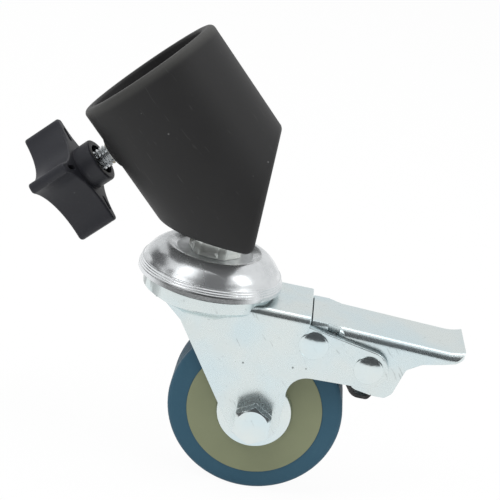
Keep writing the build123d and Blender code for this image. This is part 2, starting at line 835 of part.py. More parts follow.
for side, name in ((-1, "left"), (1, "right")):
    middle = side * (bearing_face - bearing_width / 2)
    with BuildPart() as outer_ring:
        with BuildSketch(wheel_plane):
            with Locations((middle, bearing_radius - outer_ring_wall / 2)):
                Rectangle(bearing_width, outer_ring_wall - seat_gap)
            with Locations((middle, bearing_pitch)):
                Circle(bearing_ball + ball_gap, mode=Mode.SUBTRACT)
        revolve(axis=axle_line)
    save(outer_ring.part, f"bearing_outer_{name}")

    with BuildPart() as inner_ring:
        with BuildSketch(wheel_plane):
            wall = inner_ring_radius - axle_radius - seat_gap
            with Locations((middle, inner_ring_radius - wall / 2)):
                Rectangle(bearing_width, wall)
            with Locations((middle, bearing_pitch)):
                Circle(bearing_ball + ball_gap, mode=Mode.SUBTRACT)
        revolve(axis=axle_line)
    save(inner_ring.part, f"bearing_inner_{name}")

    with BuildPart() as bearing_balls:
        with Locations(Plane(origin=(axle_x, middle, axle_z), x_dir=(1, 0, 0), z_dir=(0, -1, 0))):
            with PolarLocations(bearing_pitch, ball_count, start_angle=90):
                Sphere(bearing_ball)
    save(bearing_balls.part, f"bearing_balls_{name}")

    with BuildPart() as dust_cap:
        with BuildSketch(wheel_plane):
            with BuildLine():
                Polyline(
                    (side * core_face, cap_hole),
                    (side * core_face, cap_radius - cap_round),
                    (side * (core_face - cap_round * 0.3), cap_radius - cap_round * 0.3),
                    (side * (core_face - cap_round), cap_radius),
                    (side * (core_half - cap_skirt), cap_radius),
                    (side * (core_half - cap_skirt), cap_radius - cap_sheet),
                    (side * (core_face - cap_sheet), cap_radius - cap_sheet),
                    (side * (core_face - cap_sheet), cap_hole),
                    close=True,
                )
            make_face()
        revolve(axis=axle_line)
    save(dust_cap.part, f"dust_cap_{name}")

    save(
        wheel_ring(
            (side * bearing_face, axle_radius + seat_gap),
            (side * bearing_face, spacer_radius),
            (side * fork_inside / 2, spacer_radius),
            (side * fork_inside / 2, axle_radius + seat_gap),
        ),
        f"axle_spacer_{name}",
    )

# ---- Axle bolt, its head rounded off and with a line round it, and its locking nut ----
bolt_corner = bolt_flats / sqrt(3)
with BuildPart() as axle_bolt:
    with BuildSketch(side_plane(-fork_half)):
        RegularPolygon(bolt_flats / 2, 6, major_radius=False, rotation=30)
    extrude(amount=bolt_head)
    with BuildSketch(wheel_plane):
        with BuildLine():
            face = -fork_half - bolt_head
            line = -fork_half - bolt_head * bolt_line
            Polyline(
                (-fork_half + 1, 0),
                (-fork_half + 1, bolt_corner + 0.1),
                (line + bolt_groove, bolt_corner + 0.1),
                (line, bolt_flats / 2 - 0.1),
                (line - bolt_groove, bolt_corner + 0.1),
                (face + bolt_dome[0], bolt_corner + 0.1),
                (face, bolt_flats / 2 - bolt_dome[1]),
                (face, 0),
                close=True,
            )
        make_face()
    revolve(axis=axle_line, mode=Mode.INTERSECT)
    with BuildSketch(side_plane(-fork_half)):
        Circle(axle_radius)
    extrude(amount=-2 * fork_half - nut_height - bolt_end)
    chamfer(axle_bolt.faces().sort_by(Axis.Y)[-1].edges(), bolt_end_chamfer)
save(axle_bolt.part, "axle_bolt")

with BuildPart() as axle_nut:
    with BuildSketch(side_plane(fork_half)):
        RegularPolygon(bolt_flats / 2, 6, major_radius=False, rotation=30)
    extrude(amount=-nut_height + nut_collar)
    with BuildSketch(side_plane(fork_half)):
        Circle(nut_collar_radius)
    extrude(amount=-nut_height)
    with BuildSketch(side_plane(fork_half)):
        Circle(axle_radius + seat_gap)
    extrude(amount=-nut_height - 1, mode=Mode.SUBTRACT)
save(axle_nut.part, "axle_nut")
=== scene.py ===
import json
import math

import bpy
from mathutils import Matrix, Vector


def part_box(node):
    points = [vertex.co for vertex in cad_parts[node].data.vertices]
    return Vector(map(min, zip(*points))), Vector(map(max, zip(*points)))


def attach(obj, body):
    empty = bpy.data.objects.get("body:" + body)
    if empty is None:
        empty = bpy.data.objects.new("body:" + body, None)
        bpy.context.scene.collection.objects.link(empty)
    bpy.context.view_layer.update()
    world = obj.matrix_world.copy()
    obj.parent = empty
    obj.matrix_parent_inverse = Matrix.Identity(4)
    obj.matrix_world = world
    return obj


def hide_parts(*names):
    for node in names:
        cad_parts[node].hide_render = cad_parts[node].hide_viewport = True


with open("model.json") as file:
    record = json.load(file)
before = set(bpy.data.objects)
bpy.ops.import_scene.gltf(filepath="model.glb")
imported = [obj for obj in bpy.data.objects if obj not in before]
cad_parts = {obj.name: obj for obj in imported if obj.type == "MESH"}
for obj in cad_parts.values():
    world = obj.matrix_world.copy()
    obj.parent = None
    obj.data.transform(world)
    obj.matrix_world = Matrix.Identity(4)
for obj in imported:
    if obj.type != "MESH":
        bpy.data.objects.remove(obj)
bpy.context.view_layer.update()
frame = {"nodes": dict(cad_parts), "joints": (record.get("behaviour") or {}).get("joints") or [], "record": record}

record = frame["record"]
bodyOfNode = {node: body for body, nodes in record["behaviour"]["bodies"].items() for node in nodes}
jointWay = {joint["name"]: Vector(joint["axis"]) for joint in frame["joints"]}


def middleOf(node):
    low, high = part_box(node)
    return (low + high) / 2


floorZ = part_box("tyre")[0].z
axleAt = middleOf("wheel_core")
swivelAt = middleOf("top_race")
legWay = Vector(record["mounts"][0]["axis"])  # out of the socket's mouth
clampWay = -jointWay["knob_turn"]
weld = 0.000002  # corners nearer than this become one, in metres
pole = 0.00001  # radius where a turned outline meets its axis, in metres


def clearPicks():
    if bpy.context.object and bpy.context.object.mode != "OBJECT":
        bpy.ops.object.mode_set(mode="OBJECT")
    bpy.ops.object.select_all(action="DESELECT")


def pick(piece):
    clearPicks()
    piece.select_set(True)
    bpy.context.view_layer.objects.active = piece


def edit(piece):
    # opens the piece with every corner picked
    pick(piece)
    bpy.ops.object.mode_set(mode="EDIT")
    bpy.ops.mesh.select_mode(type="VERT")
    bpy.ops.mesh.select_all(action="SELECT")


def pickNone(kind):
    # in edit mode, ready for code to pick edges or faces
    bpy.ops.mesh.select_mode(type=kind)
    bpy.ops.mesh.select_all(action="DESELECT")


def leaveEdit():
    bpy.ops.object.mode_set(mode="OBJECT")


def backToEdit():
    # opens the active piece again and keeps what is picked
    bpy.ops.object.mode_set(mode="EDIT")


def smoothUnder(degrees):
    bpy.ops.object.shade_smooth_by_angle(angle=math.radians(degrees))


def settle():
    # the object's place, turn and scale go into its mesh
    bpy.ops.object.transform_apply(location=True, rotation=True, scale=True)


def rename(piece, name):
    piece.name = name
    piece.data.name = name


def tidyMesh(piece, sharpAngle=35):
    edit(piece)
    bpy.ops.mesh.remove_doubles(threshold=weld)
    bpy.ops.mesh.normals_make_consistent(inside=False)
    leaveEdit()
    smoothUnder(sharpAngle)


def applyModifier(piece, kind, **settings):
    pick(piece)
    modifier = piece.modifiers.new(kind.title(), kind)
    for key, value in settings.items():
        setattr(modifier, key, value)
    bpy.ops.object.modifier_apply(modifier=modifier.name)


def drawnLine(name, points):
    # one vertex, pulled from point to point as a pen would go
    clearPicks()
    bpy.ops.mesh.primitive_plane_add(size=0.001, location=(0, 0, 0))
    piece = bpy.context.object
    rename(piece, name)
    edit(piece)
    bpy.ops.mesh.merge(type="CENTER")
    bpy.ops.transform.translate(value=points[0])
    for start, end in zip(points, points[1:]):
        step = Vector(end) - Vector(start)
        bpy.ops.mesh.extrude_region_move(TRANSFORM_OT_translate={"value": step})
    leaveEdit()
    return piece


def turnedPiece(name, outline, steps):
    # outline is (radius, along) in metres, turned about Z
    piece = drawnLine(name, [(radius, 0, along) for radius, along in outline])
    edit(piece)
    bpy.ops.mesh.spin(steps=steps, angle=2 * math.pi, center=(0, 0, 0), axis=(0, 0, 1))
    leaveEdit()
    tidyMesh(piece)
    return piece


def stand(piece, at, along):
    # moves a piece made on the Z axis to its place
    turn = Vector(along).to_track_quat("Z", "Y").to_matrix().to_4x4()
    piece.matrix_world = Matrix.Translation(at) @ turn
    pick(piece)
    settle()


def joinPieces(first, *others):
    pick(first)
    for other in others:
        other.select_set(True)
    bpy.ops.object.join()
    return first


def mergedCopy(node, name, sharpAngle):
    source = frame["nodes"][node]
    piece = bpy.data.objects.new(name, source.data.copy())
    piece.data.name = name
    bpy.context.scene.collection.objects.link(piece)
    edit(piece)
    bpy.ops.mesh.remove_doubles(threshold=weld)
    leaveEdit()
    if piece.data.has_custom_normals:
        bpy.ops.mesh.customdata_custom_splitnormals_clear()
    smoothUnder(sharpAngle)
    return piece


def finish(piece, material, node):
    piece.data.materials.clear()
    piece.data.materials.append(material)
    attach(piece, bodyOfNode[node])
    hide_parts(node)


class Wire:
    # a socket that takes part in Python expressions
    def __init__(self, tree, socket=None):
        self.tree = tree
        self.socket = socket

    def add(self, kind, settings=None, sockets=None, out=0):
        node = self.tree.nodes.new(kind)
        for key, value in (settings or {}).items():
            setattr(node, key, value)
        for key, value in (sockets or {}).items():
            if isinstance(value, Wire):
                self.tree.links.new(value.socket, node.inputs[key])
            else:
                node.inputs[key].default_value = value
        return Wire(self.tree, node.outputs[out])

    def sum(self, operation, *terms):
        return self.add("ShaderNodeMath", {"operation": operation}, dict(enumerate(terms)))

    def __add__(self, other):
        return self.sum("ADD", self, other)

    def __radd__(self, other):
        return self.sum("ADD", other, self)

    def __mul__(self, other):
        return self.sum("MULTIPLY", self, other)

    def __rmul__(self, other):
        return self.sum("MULTIPLY", other, self)

    def __sub__(self, other):
        return self.sum("SUBTRACT", self, other)

    def __rsub__(self, other):
        return self.sum("SUBTRACT", other, self)

    def __gt__(self, other):
        return self.sum("GREATER_THAN", self, other)

    def __lt__(self, other):
        return self.sum("LESS_THAN", self, other)

    def ramp(self, low, high):
        # 0 at low, 1 at high, smooth between
        return self.add(
            "ShaderNodeMapRange",
            {"interpolation_type": "SMOOTHSTEP"},
            {"Value": self, "From Min": low, "From Max": high},
        )

    def tint(self, first, second):
        # self is the share of the second colour
        return self.add(
            "ShaderNodeMix", {"data_type": "RGBA"}, {0: self, 6: first, 7: second}, out=2
        )

    def darken(self, colour, amount):
        # colour times a grey that falls by amount where self is 1
        return self.add(
            "ShaderNodeMix",
            {"data_type": "RGBA", "blend_type": "MULTIPLY"},
            {0: self * amount, 6: colour, 7: (0, 0, 0, 1)},
            out=2,
        )


class Finish:
    # a Principled material with its coordinates ready; sizes are in metres
    def __init__(self, name, constants):
        self.material = bpy.data.materials.new(name)
        self.material.use_nodes = True
        tree = self.material.node_tree
        self.shader = tree.nodes["Principled BSDF"]
        for key, value in constants.items():
            self.shader.inputs[key].default_value = value
        self.wire = Wire(tree)
        self.place = self.wire.add("ShaderNodeTexCoord", out="Object")
        self.facing = Wire(tree, self.place.socket.node.outputs["Normal"])

    def noise(self, size, detail=2, rough=0.5, at=None):
        return self.wire.add(
            "ShaderNodeTexNoise",
            None,
            {"Vector": at or self.place, "Scale": 1 / size, "Detail": detail, "Roughness": rough},
        )

    def stretched(self, scale, turn=(0, 0, 0), at=(0, 0, 0), detail=2, rough=0.5):
        # noise with marks as long as scale along each axis
        moved = self.wire.add(
            "ShaderNodeMapping",
            {"vector_type": "TEXTURE"},
            {"Vector": self.place, "Location": at, "Rotation": turn, "Scale": scale},
        )
        return self.noise(1.0, detail, rough, moved)

    def specks(self, cell, size, spread, chance):
        # round marks in some of the cells, size as a share of a cell
        cells = self.wire.add("ShaderNodeTexVoronoi", None, {"Vector": self.place, "Scale": 1 / cell})
        return (1 - cells.ramp(*size)) * self.noise(spread, 1).ramp(*chance)

    def parts(self, vector):
        # X, Y and Z of a vector
        split = self.wire.add("ShaderNodeSeparateXYZ", None, {"Vector": vector}).socket.node
        return tuple(Wire(self.wire.tree, split.outputs[way]) for way in "XYZ")

    def feed(self, socket, value):
        self.wire.tree.links.new(value.socket, self.shader.inputs[socket])

    def coat(self, base, rough, height, look):
        # look gives the depth of the relief and the radius of the softened edges
        self.feed("Base Color", base)
        self.feed("Roughness", rough)
        edge = self.wire.add("ShaderNodeBevel", {"samples": 4}, {"Radius": look["edge"]})
        self.feed("Normal", self.wire.add(
            "ShaderNodeBump",
            None,
            {"Height": height, "Distance": look["depth"], "Strength": 1.0, "Normal": edge},
        ))
        return self.material


def tone(red, green, blue):
    # a colour as it looks on a screen, made linear
    shares = (red / 255, green / 255, blue / 255)
    return tuple(c / 12.92 if c <= 0.04045 else ((c + 0.055) / 1.055) ** 2.4 for c in shares) + (1,)


# in every look: cloud, flow, grain, wave and patch are the size, detail and roughness of a noise,
# dulls is what each mark adds to the roughness, and relief is each mark's share of the depth
zincLook = {
    "cool": (214, 229, 233), "warm": (222, 230, 229), "metal": 0.94, "rough": (0.2, 0.3),
    "cloud": (0.02, 3, 0.55), "cloudFrom": (0.35, 0.65), "flow": (0.006, 4, 0.65), "grain": (0.0004, 2, 0.6),
    "wave": (0.0012, 2), "waveHeight": 1.6, "depth": 0.000011, "edge": 0.00012,
    "scratches": (
        {"scale": (0.012, 0.0007, 0.0007), "turn": (0.3, 0.9, 0.2), "from": (0.685, 0.715), "share": 0.6},
        {"scale": (0.0005, 0.0005, 0.005), "turn": (1.1, -0.6, 0.5), "from": (0.70, 0.73), "share": 0.5},
    ),
    "scratchAreas": (0.45, 0.6), "scratchDark": 0.3,
    "pits": {"cell": 0.0042, "size": (0.045, 0.1), "spread": 0.009, "chance": (0.56, 0.6)}, "pitDark": 0.55,
    "wear": 1.0,  # how strong scratches and pits are
    "bends": ((0.12, 0.3), (0.86, 0.95)),  # the grain shows where a face leans between these
    "dulls": {"grain": 0.05, "scratch": 0.12, "pit": 0.2},
    "relief": {"flatGrain": 0.04, "flow": 0.5, "flatWave": 0.06, "pit": 2.0, "scratch": 0.6},
}
# painted shade: vertical streaks that darken the zinc on the bell's left side, just below the race
bellPaintedShade = {
    "across": (-0.0105, -0.007), "rise": (-0.044, -0.039),
    "scale": (0.0028, 0.0028, 0.02), "from": (0.5, 0.62), "dark": 0.42,
}


def zincFinish(name, look, shadeStreaks=None):
    made = Finish(name, {"Metallic": look["metal"]})
    dulls, relief = look["dulls"], look["relief"]
    cloud, fine, flow, wave = (made.noise(*look[key]) for key in ("cloud", "grain", "flow", "wave"))
    long, short = (
        made.stretched(line["scale"], line["turn"], detail=1).ramp(*line["from"]) * line["share"]
        for line in look["scratches"]
    )
    scratch = (long + short) * flow.ramp(*look["scratchAreas"]) * look["wear"]
    pit = made.specks(**look["pits"]) * look["wear"]
    base = cloud.ramp(*look["cloudFrom"]).tint(tone(*look["cool"]), tone(*look["warm"]))
    # painted shade, in vertical streaks, on the bell's left side under the race
    if shadeStreaks:
        across, _, rise = made.parts(made.place)
        drawn = made.stretched(shadeStreaks["scale"]).ramp(*shadeStreaks["from"])
        bell = (1 - across.ramp(*shadeStreaks["across"])) * rise.ramp(*shadeStreaks["rise"])
        base = (drawn * bell).darken(base, shadeStreaks["dark"])
    base = pit.darken(scratch.darken(base, look["scratchDark"]), look["pitDark"])
    low, high = look["rough"]
    rough = (
        low + flow * (high - low) + fine * dulls["grain"]
        + scratch * dulls["scratch"] + pit * dulls["pit"]
    )
    lean = made.parts(made.facing)[2]
    leanFrom, leanTo = look["bends"]
    bent = lean.ramp(*leanFrom) * (1 - lean.ramp(*leanTo))
    height = (
        fine * (relief["flatGrain"] + bent) + flow * relief["flow"]
        + wave * look["waveHeight"] * (relief["flatWave"] + bent)
        - pit * relief["pit"] - scratch * relief["scratch"]
    )
    return made.coat(base, rough, height, look)


ringLook = {
    "light": (230, 233, 235), "dull": (206, 210, 212), "metal": 0.86, "rough": (0.15, 0.25),
    "grain": (0.00028, 2, 0.6), "patch": (0.007, 3, 0.6), "wornFrom": (0.42, 0.68),
    "drawn": (0.004, 0.004, 0.0004), "depth": 0.000005, "edge": 0.0002,
    # the painted dark reflection on the rim's near side, and the level seat round the hexagon
    "darkReflectionStart": (-0.012, -0.006), "darkReflectionEnd": (0.012, 0.018), "darkReflectionTop": -0.0291,
    "darkReflectionGrain": (0.55, 0.6), "darkReflectionAmount": 0.85, "level": (0.9, 0.97), "seat": (-0.0236, -0.0232),
    "dullness": {"worn": 0.5, "grain": 0.2},
    "dulls": {"drawn": 0.06, "grain": 0.04, "seat": 0.28},
    "relief": {"grain": 0.6, "drawn": 0.4, "patch": 0.6},
}


def ringFinish(name, look, centre):
    # plated and tumbled: fine satin speckle, drawn round the swivel axis
    made = Finish(name, {"Metallic": look["metal"]})
    shares, dulls, relief = look["dullness"], look["dulls"], look["relief"]
    fine = made.noise(*look["grain"])
    patch = made.noise(*look["patch"])
    drawn = made.stretched(look["drawn"], at=centre)
    worn = patch.ramp(*look["wornFrom"])
    across, deep, rise = made.parts(made.place)
    # painted dark reflection: the rim's near side, below the top, is darkened in its colour
    darkReflectionSpan = across.ramp(*look["darkReflectionStart"]) * (1 - across.ramp(*look["darkReflectionEnd"]))
    rubbedAndShade = darkReflectionSpan * (deep < 0) * (rise < look["darkReflectionTop"])
    seatLow, seatHigh = look["seat"]
    seat = made.parts(made.facing)[2].ramp(*look["level"]) * (rise > seatLow) * (rise < seatHigh)
    base = (worn * shares["worn"] + fine * shares["grain"]).tint(tone(*look["light"]), tone(*look["dull"]))
    plain, grainy = look["darkReflectionGrain"]
    base = (rubbedAndShade * (plain + fine * grainy)).darken(base, look["darkReflectionAmount"])
    low, high = look["rough"]
    rough = (
        low + worn * (high - low) + drawn * dulls["drawn"]
        + fine * dulls["grain"] + seat * dulls["seat"]
    )
    height = fine * relief["grain"] + drawn * relief["drawn"] + patch * relief["patch"]
    return made.coat(base, rough, height, look)


mouldedLook = {
    "shine": 0.3, "flow": (0.014, 3, 0.5), "dimple": (0.004, 2), "scraped": (0.35, 0.35, 0.35, 1),
    "scuff": {"scale": (0.009, 0.0008, 0.0008), "turn": (0.2, 0.75, 0.1), "rough": 0.6},
    "scuffFrom": (0.66, 0.74),
    "speck": {"cell": 0.005, "size": (0.03, 0.07), "spread": 0.02, "chance": (0.5, 0.55)},
    "dustShare": {"flow": 0.6, "grain": 0.4}, "scrapedShare": {"speck": 0.25, "scuff": 0.03},
    "dulls": {"flow": 0.08, "grain": 0.06}, "scuffShine": 0.1,
    "relief": {"grain": 0.7, "dimple": 0.6},
}
socketLook = {
    **mouldedLook,
    "black": (30, 30, 30), "dusty": (40, 40, 41), "rough": 0.5,
    "grain": (0.00035, 2, 0.55), "depth": 0.000012, "edge": 0.0003,
    # painted highlight: paler at the mouth, along the leg's way, and only outside the bore, where the rounded
    # outer lip catches the light
    "lip": {"pale": (72, 72, 70), "share": 0.5, "along": (0.0304, 0.0324), "inside": 0.0188},
}
knobLook = {
    **mouldedLook,
    "black": (37, 38, 43), "dusty": (45, 46, 51), "rough": 0.38,
    "grain": (0.0005, 2, 0.55), "depth": 0.000006, "edge": 0.00025,
}


def plasticFinish(name, look):
    made = Finish(name, {"Metallic": 0.0, "Specular IOR Level": look["shine"]})
    dust, bare, dulls, relief = look["dustShare"], look["scrapedShare"], look["dulls"], look["relief"]
    fine = made.noise(*look["grain"])
    flow = made.noise(*look["flow"])
    scuff = made.stretched(**look["scuff"]).ramp(*look["scuffFrom"])
    speck = made.specks(**look["speck"])
    base = (flow * dust["flow"] + fine * dust["grain"]).tint(tone(*look["black"]), tone(*look["dusty"]))
    base = (speck * bare["speck"] + scuff * bare["scuff"]).tint(base, look["scraped"])
    # painted highlight on the outer wall at the socket's mouth
    if "lip" in look:
        lip = look["lip"]
        across, deep, rise = made.parts(made.place)
        along = rise * legWay.z + across * legWay.x
        apart = across * across + deep * deep + rise * rise - along * along
        mouth = along.ramp(*lip["along"]) * (apart > lip["inside"] ** 2)
        base = (mouth * lip["share"]).tint(base, tone(*lip["pale"]))
    rough = look["rough"] + flow * dulls["flow"] + fine * dulls["grain"] - scuff * look["scuffShine"]
    height = fine * relief["grain"] + made.noise(*look["dimple"]) * relief["dimple"]
    return made.coat(base, rough, height, look)


rubberLook = {
    "blue": (49, 84, 103), "pale": (60, 93, 110), "rough": 0.42, "shine": 0.15,
    "grain": (0.0004, 2, 0.6), "cloud": (0.01, 3, 0.55), "depth": 0.00001, "edge": 0.00025,
    "smear": {"scale": (0.006, 0.0015, 0.0015), "turn": (0.4, 0.3, 0.8), "detail": 3, "rough": 0.6},
    "dustFrom": (0.55, 0.75), "paleShare": {"cloud": 0.5, "dust": 0.35, "grain": 0.15},
    "dulls": {"cloud": 0.12, "dust": 0.12}, "relief": {"grain": 0.6},
}


def rubberFinish(name, look, centre):
    made = Finish(name, {"Metallic": 0.0, "Specular IOR Level": look["shine"]})
    shares, dulls = look["paleShare"], look["dulls"]
    fine = made.noise(*look["grain"])
    cloud = made.noise(*look["cloud"])
    dust = made.stretched(at=centre, **look["smear"]).ramp(*look["dustFrom"])
    pale = cloud * shares["cloud"] + dust * shares["dust"] + fine * shares["grain"]
    base = pale.tint(tone(*look["blue"]), tone(*look["pale"]))
    rough = look["rough"] + cloud * dulls["cloud"] + dust * dulls["dust"]
    return made.coat(base, rough, fine * look["relief"]["grain"] + cloud, look)


coreLook = {
    "olive": (121, 127, 98), "pale": (132, 137, 108), "rough": 0.45, "shine": 0.35,
    "grain": (0.0005, 2, 0.6), "cloud": (0.012, 2, 0.5), "depth": 0.000012, "edge": 0.0002,
    "paleShare": {"cloud": 0.8, "grain": 0.2}, "dulls": {"cloud": 0.08, "grain": 0.05},
    "relief": {"grain": 0.5},
}


def coreFinish(name, look):
    made = Finish(name, {"Metallic": 0.0, "Specular IOR Level": look["shine"]})
    shares, dulls = look["paleShare"], look["dulls"]
    fine = made.noise(*look["grain"])
    cloud = made.noise(*look["cloud"])
    pale = cloud * shares["cloud"] + fine * shares["grain"]
    base = pale.tint(tone(*look["olive"]), tone(*look["pale"]))
    rough = look["rough"] + cloud * dulls["cloud"] + fine * dulls["grain"]
    return made.coat(base, rough, fine * look["relief"]["grain"] + cloud, look)


springLook = {
    "black": (44, 45, 46), "rubbedAndShade": (82, 82, 82), "metal": 0.7, "rough": 0.38,
    "grain": (0.0003, 2, 0.6), "patch": (0.005, 3, 0.6), "rubFrom": (0.5, 0.7),
    "rubbedShare": {"rub": 0.6, "grain": 0.3}, "dulls": {"rub": 0.14}, "depth": 0.000008, "edge": 0.0002,
}


def springFinish(name, look):
    made = Finish(name, {"Metallic": look["metal"]})
    shares = look["rubbedShare"]
    fine = made.noise(*look["grain"])
    rub = made.noise(*look["patch"]).ramp(*look["rubFrom"])
    base = (rub * shares["rub"] + fine * shares["grain"]).tint(tone(*look["black"]), tone(*look["rubbedAndShade"]))
    return made.coat(base, look["rough"] + rub * look["dulls"]["rub"], fine, look)


turnedLook = {
    "grain": (0.0002, 2, 0.6), "cloud": (0.003, 2, 0.5), "rough": 0.18, "dulls": {"cloud": 0.12},
    "dullShare": {"cloud": 0.7, "grain": 0.3}, "depth": 0.000004, "edge": 0.00015,
}
steelLook = {**turnedLook, "light": (214, 217, 219), "dull": (186, 190, 192)}
brassLook = {**turnedLook, "light": (214, 184, 110), "dull": (184, 150, 84)}


def turnedFinish(name, look):
    made = Finish(name, {"Metallic": 1.0})
    shares = look["dullShare"]
    fine = made.noise(*look["grain"])
    cloud = made.noise(*look["cloud"])
    base = (cloud * shares["cloud"] + fine * shares["grain"]).tint(tone(*look["light"]), tone(*look["dull"]))
    return made.coat(base, look["rough"] + cloud * look["dulls"]["cloud"], fine, look)


fastenerLook = {**zincLook, "metal": 0.95, "rough": (0.09, 0.18), "waveHeight": 2.0, "wear": 0.5}
# painted light: a paler, less metallic copy of the plate zinc for the kingpin, so the hexagon in the shade under
# the socket comes out brighter
litZincLook = {
    **zincLook, "cool": (243, 247, 243), "warm": (246, 247, 238), "metal": 0.62,
    "rough": (0.11, 0.19), "wear": 0.4,
}
zincPlate = zincFinish("zincPlate", zincLook, bellPaintedShade)
zincSmall = zincFinish("zincFastener", fastenerLook)
litZinc = zincFinish("litZinc", litZincLook)
ringSteel = ringFinish("platedRing", ringLook, swivelAt)
socketPlastic = plasticFinish("socketPlastic", socketLook)
knobPlastic = plasticFinish("knobPlastic", knobLook)
treadRubber = rubberFinish("treadRubber", rubberLook, axleAt)
corePlastic = coreFinish("corePlastic", coreLook)
springSteel = springFinish("springSteel", springLook)
groundSteel = turnedFinish("groundSteel", steelLook)
turnedBrass = turnedFinish("turnedBrass", brassLook)
print("finishes ready")

cameraPlan = {
    "at": (0.01585, -0.34923, 0.09826), "azimuth": 0.44, "elevation": 18.87, "roll": 11.72,
    "lens": 95.28, "clip": (0.01, 50),
}
stagePlan = {
    "floor": 8.0, "gap": 0.00003,  # the floor lies this far under the tyre
    "paper": ((0.8, 0.8, 0.8, 1), (0.82, 0.82, 0.82, 1)), "paperCloud": 0.05, "paperRough": 0.9,
    "floorGlow": 0.955, "world": 0.55, "sheen": 0.8,  # sheen is the world as glossy rays see it
}
lampTarget = (0, 0, -0.03)
lampPlan = {
    "leftBox": {"at": (-0.76, -0.58, 0.93), "size": (0.46, 1.1), "power": 2.8},
    "rightBox": {"at": (0.99, -0.28, 0.98), "size": (0.5, 0.62), "power": 1.7},
    "topBox": {"at": (-0.1, 0.42, 1.1), "size": (0.9, 0.5), "power": 2.4},
    "leftFill": {"at": (-0.42, -0.55, 0.95), "size": (0.5, 0.5), "power": 3.0, "shines": False},
    "rightFill": {"at": (0.85, -0.3, 0.85), "size": (0.5, 0.5), "power": 2.2, "shines": False},
    "crownFill": {"at": (0.2, -0.14, 1.15), "size": (0.8, 0.2), "power": 5.0, "shines": False},
}
hoodPlan = {
    "centre": (0.0, 0.0, -0.05), "radius": 1.1, "steps": 16, "smooth": 60,
    "felt": (0.03, 0.03, 0.033, 1), "feltRough": 0.9,
    "strips": (  # lowest and highest angle, left and right
        (0.5, 27, -2.6, 2.4), (27, 44, -0.45, 2.4), (27, 44, -2.6, -0.95), (44, 69, -0.3, 0.6),
        (44, 69, -2.4, -1.05), (98, 125, -2.6, -1.3),
    ),
}


def addCamera(plan):
    azimuth, elevation, roll = (math.radians(plan[key]) for key in ("azimuth", "elevation", "roll"))
    outward = math.cos(elevation)
    back = Vector((math.sin(azimuth) * outward, -math.cos(azimuth) * outward, math.sin(elevation)))
    level = Vector((math.cos(azimuth), math.sin(azimuth), 0))
    rise = back.cross(level)
    right = level * math.cos(roll) + rise * math.sin(roll)
    up = rise * math.cos(roll) - level * math.sin(roll)
    clearPicks()
    bpy.ops.object.camera_add()
    camera = bpy.context.object
    camera.matrix_world = Matrix.Translation(plan["at"]) @ Matrix((right, up, back)).transposed().to_4x4()
    camera.data.lens = plan["lens"]
    camera.data.clip_start, camera.data.clip_end = plan["clip"]
    bpy.context.scene.camera = camera


def raysOf(wire):
    # 1 for a ray from the camera, from a glossy surface, or through a clear one
    rays = wire.add("ShaderNodeLightPath").socket.node
    kinds = ("Camera", "Glossy", "Transmission")
    return tuple(Wire(wire.tree, rays.outputs[f"Is {kind} Ray"]) for kind in kinds)


def addFloor(plan):
    clearPicks()
    bpy.ops.mesh.primitive_plane_add(size=plan["floor"], location=(0, 0, floorZ - plan["gap"]))
    floor = bpy.context.object
    floor.name = "studioFloor"
    settle()
    made = Finish("floorPaper", {"Roughness": plan["paperRough"], "Specular IOR Level": 0.0})
    made.feed("Base Color", made.noise(plan["paperCloud"]).tint(*plan["paper"]))
    wire = made.wire
    glow = wire.add("ShaderNodeEmission", None, {"Color": (1, 1, 1, 1), "Strength": 1.0})
    camera, glossy, through = raysOf(wire)
    share = camera.sum("MAXIMUM", camera, glossy.sum("MAXIMUM", glossy, through)) * plan["floorGlow"]
    paper = Wire(wire.tree, made.shader.outputs[0])
    blend = wire.add("ShaderNodeMixShader", None, {0: share, 1: paper, 2: glow})
    wire.tree.links.new(blend.socket, wire.tree.nodes["Material Output"].inputs[0])
    floor.data.materials.append(made.material)


def addWorld(plan):
    world = bpy.data.worlds.new("studioWorld")
    world.use_nodes = True
    bpy.context.scene.world = world
    background = world.node_tree.nodes["Background"]
    background.inputs[0].default_value = (1, 1, 1, 1)
    camera, glossy, through = raysOf(Wire(world.node_tree))
    plain, sheen = plan["world"], plan["sheen"]
    strength = plain + (camera + through) * (1 - plain) + glossy * (sheen - plain)
    world.node_tree.links.new(strength.socket, background.inputs[1])


def addLamp(name, plan):
    clearPicks()
    bpy.ops.object.light_add(type="AREA", location=plan["at"])
    lamp = bpy.context.object
    lamp.name = name
    lamp.data.shape = "RECTANGLE"
    lamp.data.size, lamp.data.size_y = plan["size"]
    lamp.data.energy = plan["power"]
    lamp.visible_glossy = plan.get("shines", True)
    lamp.rotation_euler = (Vector(plan["at"]) - Vector(lampTarget)).to_track_quat("Z", "Y").to_euler()


def addHood(plan):
    # dark curved cards beyond the camera, which give the plated metal its dark bands
    radius = plan["radius"]
    made = Finish("hoodFelt", {"Base Color": plan["felt"], "Roughness": plan["feltRough"]})
    for count, (low, high, left, right) in enumerate(plan["strips"]):
        low, high = math.radians(low), math.radians(high)
        start = (-radius * math.cos(low), radius * math.sin(low))
        hood = drawnLine(f"darkHood{count + 1}", [(left, *start), (right, *start)])
        edit(hood)
        bpy.ops.mesh.spin(steps=plan["steps"], angle=high - low, center=(0, 0, 0), axis=(1, 0, 0))
        bpy.ops.mesh.select_all(action="SELECT")
        bpy.ops.transform.translate(value=plan["centre"])
        leaveEdit()
        tidyMesh(hood, plan["smooth"])
        hood.data.materials.append(made.material)
        hood.visible_camera = False
        hood.visible_shadow = False
        hood.visible_diffuse = False


addCamera(cameraPlan)
bpy.context.scene.view_settings.view_transform = "Standard"
addFloor(stagePlan)
addWorld(stagePlan)
for lampName, lampSettings in lampPlan.items():
    addLamp(lampName, lampSettings)
addHood(hoodPlan)
print("stage ready")

